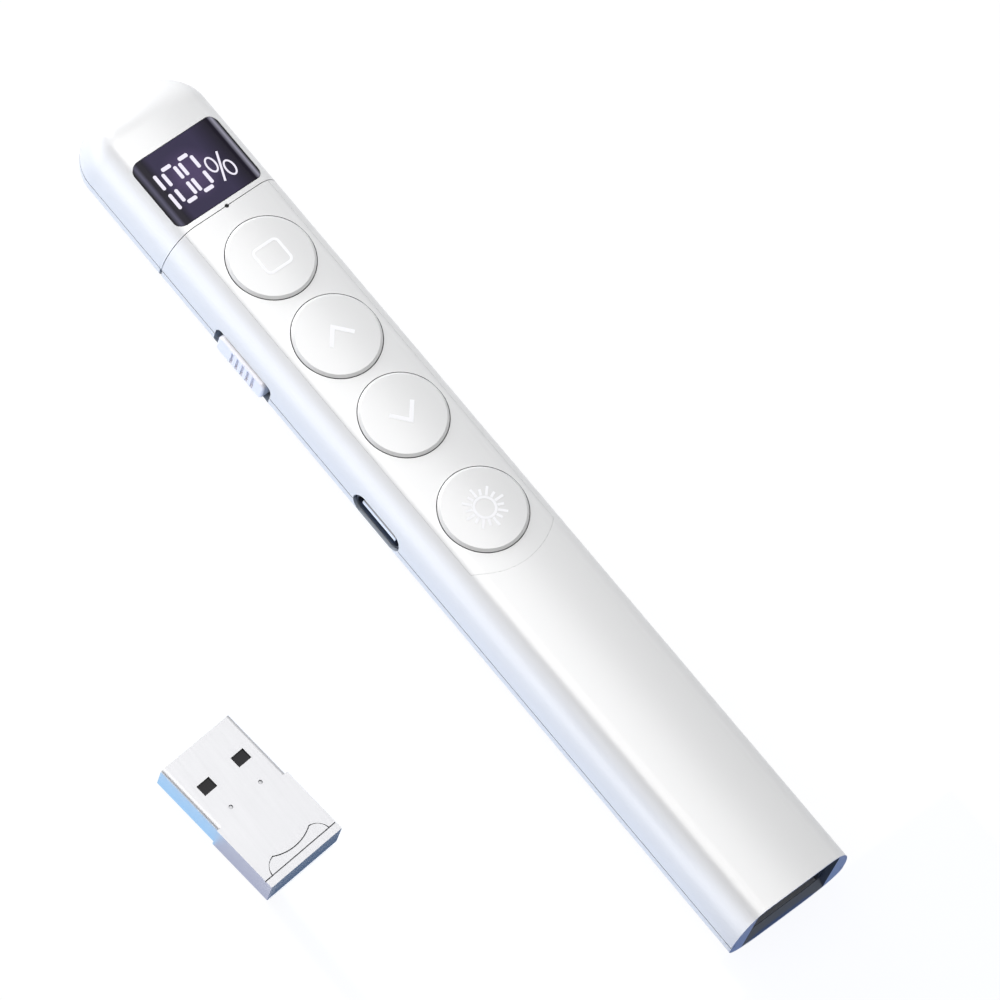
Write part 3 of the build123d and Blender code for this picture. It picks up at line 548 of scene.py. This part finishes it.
def box_of(name):
    """Low and high corner of a CAD node, in mm."""
    mesh = nodes[name].data
    points = [nodes[name].matrix_world @ vertex.co for vertex in mesh.vertices]
    low = Vector([min(p[i] for p in points) for i in range(3)]) / MM
    high = Vector([max(p[i] for p in points) for i in range(3)]) / MM
    return low, high


def film(mesh, outline, base):
    """Adds a film over a closed outline of (x, y) points, anticlockwise from above, in mm."""
    lower = [mesh.verts.new(Vector((x, y, base)) * MM) for x, y in outline]
    upper = [mesh.verts.new(Vector((x, y, base + INK)) * MM) for x, y in outline]
    mesh.faces.new(upper)
    for i in range(len(outline)):
        mesh.faces.new((lower[i - 1], lower[i], upper[i], upper[i - 1]))


def band(mesh, inner, outer, base):
    """Adds a film between two closed outlines that have the same number of points."""
    for i in range(len(inner)):
        corners = [outer[i - 1], outer[i], inner[i], inner[i - 1]]
        film(mesh, corners, base)


def ellipse(centre, half_x, half_y, count=48):
    """Points round an ellipse."""
    turns = [math.tau * i / count for i in range(count)]
    return [(centre[0] + half_x * math.cos(t), centre[1] + half_y * math.sin(t)) for t in turns]


def rounded_square(centre, half_x, half_y, radius, per_corner=6):
    """Points round a rectangle with round corners."""
    points = []
    for corner, (sx, sy) in enumerate([(1, 1), (-1, 1), (-1, -1), (1, -1)]):
        for i in range(per_corner):
            turn = math.radians(90) * (corner + i / (per_corner - 1))
            points.append((centre[0] + sx * (half_x - radius) + radius * math.cos(turn),
                           centre[1] + sy * (half_y - radius) + radius * math.sin(turn)))
    return points


def stroke(start, end, width, cut=0.0):
    """Outline of a straight bar between two points, its corners cut off by a little."""
    start, end = Vector(start), Vector(end)
    along = (end - start).normalized()
    side = Vector((-along.y, along.x)) * width / 2
    if not cut:
        return [tuple(v) for v in (start - side, end - side, end + side, start + side)]
    inward = side.normalized() * cut
    corners = [start - side + along * cut, end - side - along * cut, end - side + inward,
               end + side - inward, end + side - along * cut, start + side + along * cut,
               start + side - inward, start - side + inward]
    return [tuple(v) for v in corners]


def marks(name, body, material):
    """Starts a piece made of films: the mesh to draw in, and a function that closes it."""
    mesh = bmesh.new()

    def close():
        data = bpy.data.meshes.new(name)
        mesh.to_mesh(data)
        mesh.free()
        data.materials.append(material)
        piece = bpy.data.objects.new(name, data)
        bpy.context.scene.collection.objects.link(piece)
        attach(piece, body)
        print(name, "faces:", len(data.polygons))

    return mesh, close


# %% [markdown]
# White pad-printing ink is titanium dioxide in an epoxy binder: a brighter, flatter white than
# the sprayed case round it. On a pale cap it shows only because of that. The marks say what
# the caps do: blank the screen, a page back, a page on, and the laser.

# %% Ink and the place of a mark
white_ink = moulded_plastic("white_pad_printing_ink", "#f7f7f9", "#f3f3f6", 0.5)
MARK_RISE = 0.2             # the marks stand this far off the caps' centres, in mm


def cap_centre(name):
    """Middle of a cap's mark, and the height of the cap's flat top, in mm."""
    low, high = box_of(name)
    return ((low.x + high.x) / 2, (low.y + high.y) / 2 + MARK_RISE), high.z


# %% Square of the screen key
SQUARE_HALF, SQUARE_CORNER, SQUARE_LINE = (1.7, 1.8), 0.45, 0.4
centre, top = cap_centre("screen_button")
mesh, close = marks("screen_mark", "screen_key", white_ink)
inner, outer = (rounded_square(centre, SQUARE_HALF[0] + grow, SQUARE_HALF[1] + grow,
                               SQUARE_CORNER + grow) for grow in (0, SQUARE_LINE))
band(mesh, inner, outer, top)
close()

# %% Arrow heads of the page keys


def chevron(centre, point_to, reach=1.25, spread=1.95, width=0.58):
    """Arrow head; point_to is -1 for the nose and 1 for the tail."""
    tip = centre[0] + point_to * reach
    foot = centre[0] - point_to * reach * 0.75
    slant = math.hypot(tip - foot, spread)
    tip_half = width * slant / spread / 2       # half the stroke's width, measured along X
    foot_x = width * spread / slant / 2
    foot_y = width * (tip - foot) / slant / 2
    upper, lower = centre[1] + spread, centre[1] - spread
    return [(tip + tip_half, centre[1]), (foot + foot_x, upper + foot_y),
            (foot - foot_x, upper - foot_y), (tip - tip_half, centre[1]),
            (foot - foot_x, lower + foot_y), (foot + foot_x, lower - foot_y)]


for key, point_to in (("previous", -1), ("next", 1)):
    centre, top = cap_centre(key + "_button")
    mesh, close = marks(key + "_mark", key + "_key", white_ink)
    film(mesh, chevron(centre, point_to), top)
    close()

# %% Rays of the laser key
RING_INNER, RING_OUTER = 1.28, 1.64
RAYS, RAY_WIDTH, RAY_FOOT = 16, 0.36, 1.7
RAY_TIPS = (3.05, 2.6)      # long and short rays by turns
centre, top = cap_centre("pointer_button")
mesh, close = marks("pointer_mark", "pointer_key", white_ink)
band(mesh, ellipse(centre, RING_INNER, RING_INNER), ellipse(centre, RING_OUTER, RING_OUTER), top)
for i in range(RAYS):
    turn = math.tau * i / RAYS
    ray = Vector((math.cos(turn), math.sin(turn)))
    ends = [Vector(centre) + ray * length for length in (RAY_FOOT, RAY_TIPS[i % 2])]
    film(mesh, stroke(*ends, RAY_WIDTH), top)
close()

# %% [markdown]
# The read-out is three digits of a segment display and a small sign. Each lit bar is a light
# source behind a mask, so it is an even, slightly violet white with sharp edges. The bars lie
# just on the window instead of behind it, because behind smoked plastic they would need far
# more light to look the same.

# %% Glow of a lit bar
lit, tree = new_material("lit_segment")
glow = add_node(tree, "ShaderNodeEmission", {}, {"Color": srgb("#f6f2ff"), "Strength": 1.0})
add_node(tree, "ShaderNodeOutputMaterial", {}, {"Surface": glow})
print("glow:", lit.name)

# %% Layout of the read-out, in mm
# Places along X start at the window's front edge, and places along Y at the centre line.
BAR, BAR_CUT = 0.5, 0.14    # width of a bar, and what its corners lack
DIGIT_HALF = 0.98           # middle of a digit to its upright bars
ONE_Y = -6.2 + DIGIT_HALF   # a 1 has the right-hand bars only
ONE_BARS = ((2.78, 5.23), (6.0, 8.55))
NOUGHTS_Y = (-3.15, -0.36)
NOUGHT_BARS = ((3.2, 5.25), (5.9, 7.95))
CAPS_X, CAP_HALF, CAP_BAR = (2.78, 8.3), 0.75, 0.56     # bars across a nought's two ends
SIGN_RINGS = ((5.8, 2.06), (7.48, 3.88))
SIGN_INNER, SIGN_OUTER = (1.0, 0.49), (1.26, 0.75)
SIGN_SLASH, SLASH_WIDTH = ((8.68, 2.11), (4.63, 3.82)), 0.3

# %% Lit number
window_low, window_high = box_of("display_lens")
front, top = window_low.x, window_high.z
mesh, close = marks("lit_number", "clicker", lit)


def upright_bars(y, bars):
    """Two bars along X, one above the other."""
    for start, end in bars:
        film(mesh, stroke((front + start, y), (front + end, y), BAR, BAR_CUT), top)


upright_bars(ONE_Y, ONE_BARS)
for middle in NOUGHTS_Y:
    for y in (middle - DIGIT_HALF, middle + DIGIT_HALF):
        upright_bars(y, NOUGHT_BARS)
    for x in CAPS_X:
        ends = [(front + x, middle + way * CAP_HALF) for way in (-1, 1)]
        film(mesh, stroke(*ends, CAP_BAR, BAR_CUT), top)
for x, y in SIGN_RINGS:
    inner, outer = (ellipse((front + x, y), *half, 32) for half in (SIGN_INNER, SIGN_OUTER))
    band(mesh, inner, outer, top)
film(mesh, stroke(*[(front + x, y) for x, y in SIGN_SLASH], SLASH_WIDTH), top)
close()

# %% [markdown]
# ## Studio
#
# The object lies on a white sheet. The background is plain white: the sheet and the world show
# a strength of about 1 to the camera, to mirrors and through glass, while the light that they
# cast stays at a level where a colour renders about as it is written.

# %% What the eye sees


def seen_directly(tree):
    """Mask that is 1 for what the camera, a mirror or clear plastic shows."""
    ray = add_node(tree, "ShaderNodeLightPath").outputs
    first = add_node(tree, "ShaderNodeMath", {"operation": "MAXIMUM"},
                     {0: ray["Is Camera Ray"], 1: ray["Is Glossy Ray"]})
    return add_node(tree, "ShaderNodeMath", {"operation": "MAXIMUM"},
                    {0: first, 1: ray["Is Transmission Ray"]})


# %% World
world = bpy.data.worlds.new("studio")
bpy.context.scene.world = world
world.use_nodes = True
sky = world.node_tree
sky.nodes.clear()
fill_light = add_node(sky, "ShaderNodeBackground", {},
                      {"Color": srgb("#f2f4f6"), "Strength": 0.15})
backdrop = add_node(sky, "ShaderNodeBackground", {}, {"Color": (1, 1, 1, 1), "Strength": 1.0})
choose = add_node(sky, "ShaderNodeMixShader", {},
                  {0: seen_directly(sky), 1: fill_light, 2: backdrop})
add_node(sky, "ShaderNodeOutputWorld", {}, {"Surface": choose})
bpy.context.scene.view_settings.view_transform = "Standard"
print("view transform:", bpy.context.scene.view_settings.view_transform)

# %% [markdown]
# The sheet is backdrop paper, so wide that its ends are never seen. It keeps a seventh of its
# own matt colour, which takes the object's soft shadow, and the rest is an even white.

# %% Backdrop paper
FLOOR_SPAN = (-3.0, 3.0)    # in metres
FLOOR_Z = -0.05 * MM
PAPER_GLOW = 0.86


def level_corners(x, y, z):
    """Corners of a level sheet between two values of X and two of Y."""
    return [(x[0], y[0], z), (x[1], y[0], z), (x[1], y[1], z), (x[0], y[1], z)]


def flat_sheet(name, corners):
    """One flat four-sided sheet."""
    mesh = bpy.data.meshes.new(name)
    mesh.from_pydata([Vector(c) for c in corners], [], [(0, 1, 2, 3)])
    sheet = bpy.data.objects.new(name, mesh)
    bpy.context.scene.collection.objects.link(sheet)
    return sheet


floor = flat_sheet("paper_floor", level_corners(FLOOR_SPAN, FLOOR_SPAN, FLOOR_Z))
paper, tree = new_material("white_backdrop_paper")
glow_share = add_node(tree, "ShaderNodeMath", {"operation": "MULTIPLY"},
                      {0: seen_directly(tree), 1: PAPER_GLOW})
matt = add_node(tree, "ShaderNodeBsdfDiffuse", {}, {"Color": srgb("#cfd3da")})
glow = add_node(tree, "ShaderNodeEmission", {}, {"Color": (1, 1, 1, 1), "Strength": 1.08})
paper_mix = add_node(tree, "ShaderNodeMixShader", {}, {0: glow_share, 1: matt, 2: glow})
add_node(tree, "ShaderNodeOutputMaterial", {}, {"Surface": paper_mix})
floor.data.materials.append(paper)
print("paper:", FLOOR_SPAN[1] - FLOOR_SPAN[0], "m wide")

# %% [markdown]
# One large soft box hangs over the object. Its near edge mirrors along the middle of the flat
# top, which gives the slow change from white on the switch side to pale grey on the other.
# Low fills light the two sides and the nose. The fills at the sides are kept out of
# reflections, since they would draw a second bright line on the shoulders.

# %% Lamps


def soft_box(name, direction, distance, along, across, radiance, colour, mirrored=True):
    """Rectangular lamp that looks at the middle of the object, one side along X; in metres."""
    data = bpy.data.lights.new(name, "AREA")
    data.shape = "RECTANGLE"
    data.size, data.size_y = along, across
    data.energy = radiance * math.pi * along * across
    data.color = srgb(colour)[:3]
    lamp = bpy.data.objects.new(name, data)
    lamp.visible_camera = False
    lamp.visible_glossy = mirrored
    bpy.context.scene.collection.objects.link(lamp)
    away = Vector(direction).normalized()
    level = Vector((1, 0, 0)) if abs(away.x) < 0.7 else Vector((0, 1, 0))
    side = (level - away * away.dot(level)).normalized()
    axes = Matrix((side, away.cross(side), away)).transposed().to_4x4()
    lamp.matrix_world = Matrix.Translation(away * distance) @ axes


soft_box("overhead_box", (-0.2175, -0.267, 0.95), distance=0.6, along=0.40, across=0.888,
         radiance=2.68, colour="#ffffff")
soft_box("left_fill", (-0.45, -1, 0.12), distance=0.7, along=0.8, across=0.3,
         radiance=2.5, colour="#fff8f0", mirrored=False)
soft_box("right_fill", (-0.45, 1, 0.25), distance=0.7, along=0.8, across=0.3,
         radiance=2.8, colour="#ffffff", mirrored=False)
soft_box("nose_fill", (-1, -0.1, 0.33), distance=0.7, along=0.5, across=0.4,
         radiance=5.7, colour="#f8faff")
print("lamps:", len(bpy.data.lights))

# %% [markdown]
# A white object on white needs dark edges to show its form, so a photographer stands a black
# card beside it. This one is upright, a quarter of a metre from the switch side, and it is
# seen in reflections only. It draws the soft grey line along the shoulder between the bright
# top and the bright band under it.

# %% Black card
CARD_HALF = 0.5             # in metres
CARD_Y = -0.25
CARD_FOOT, CARD_TOP = 0.035, 0.165
card = flat_sheet("black_card", [(x, CARD_Y, z) for x, z in (
    (-CARD_HALF, CARD_FOOT), (CARD_HALF, CARD_FOOT), (CARD_HALF, CARD_TOP),
    (-CARD_HALF, CARD_TOP))])
card.visible_camera = False
card.visible_diffuse = False
card.visible_shadow = False
card_black, tree = new_material("black_card")
soot = add_node(tree, "ShaderNodeBsdfDiffuse", {}, {"Color": srgb("#101010")})
add_node(tree, "ShaderNodeOutputMaterial", {}, {"Surface": soot})
card.data.materials.append(card_black)
print("black card:", 2 * CARD_HALF, "by", round(CARD_TOP - CARD_FOOT, 3), "m")

# %% [markdown]
# An upright face mirrors the few millimetres of table in front of it, so a small card laid
# there sets its tone without touching the rest. Each card below belongs to one face:
#
# - band_card is far out on the switch side and draws the bright band under the shoulder;
# - glow_card lies along the switch side and gives it a cool, even light;
# - the receiver has one card for each of its visible sides: sky blue along the plug, pale
#   violet along the grip, and slate blue in front of its end, which makes the plated metal
#   read as metal;
# - tail_card does the same for the rim of the mouth.
#
# The camera doesn't see the cards, and they cast no shadow.

# %% A card on the table


def table_card(name, x, y, height, colour, strength, mirrored=True, lights=True):
    """Glowing card on the table; it can be kept out of reflections, or light nothing."""
    sheet = flat_sheet(name, [Vector(c) * MM for c in level_corners(x, y, height)])
    sheet.visible_camera = False
    sheet.visible_shadow = False
    sheet.visible_glossy = mirrored
    sheet.visible_diffuse = lights
    material, tree = new_material(name)
    shine = add_node(tree, "ShaderNodeEmission", {}, {"Color": srgb(colour), "Strength": strength})
    add_node(tree, "ShaderNodeOutputMaterial", {}, {"Surface": shine})
    sheet.data.materials.append(material)


# %% Cards on the table, in mm
LOW_CARD = 0.2              # heights above the table
SIDE_CARD = 0.4
FOOT_CARD = 0.6
LEAN = 1.2                  # how far the turned receiver leans past its own corners
grip_low, grip_high = box_of("receiver_grip")
plug_low = box_of("receiver_shell")[0]
table_card("band_card", (-400, 300), (-70, -19.5), LOW_CARD, "#f6f9ff", 2.7, lights=False)
table_card("glow_card", (-120, tail_x + 5), (-50, -10.5), SIDE_CARD, "#bcd6ff", 1.6,
           mirrored=False)
table_card("plug_side_card", (plug_low.x - 6, grip_low.x + LEAN),
           (plug_low.y - 7, plug_low.y + 2), FOOT_CARD, "#a6d5ff", 2.1, lights=False)
table_card("grip_side_card", (grip_low.x + LEAN, grip_high.x + 2),
           (grip_low.y - 7, grip_low.y + 2), FOOT_CARD, "#dbe2ff", 1.3, lights=False)
table_card("receiver_end_card", (grip_high.x - LEAN, grip_high.x + 25),
           (grip_low.y + 0.85, grip_high.y + 6), FOOT_CARD, "#5a7eab", 1.0)
table_card("tail_card", (tail_x - 0.5, tail_x + 40), (-30, 30), FOOT_CARD, "#7089c0", 1.1)
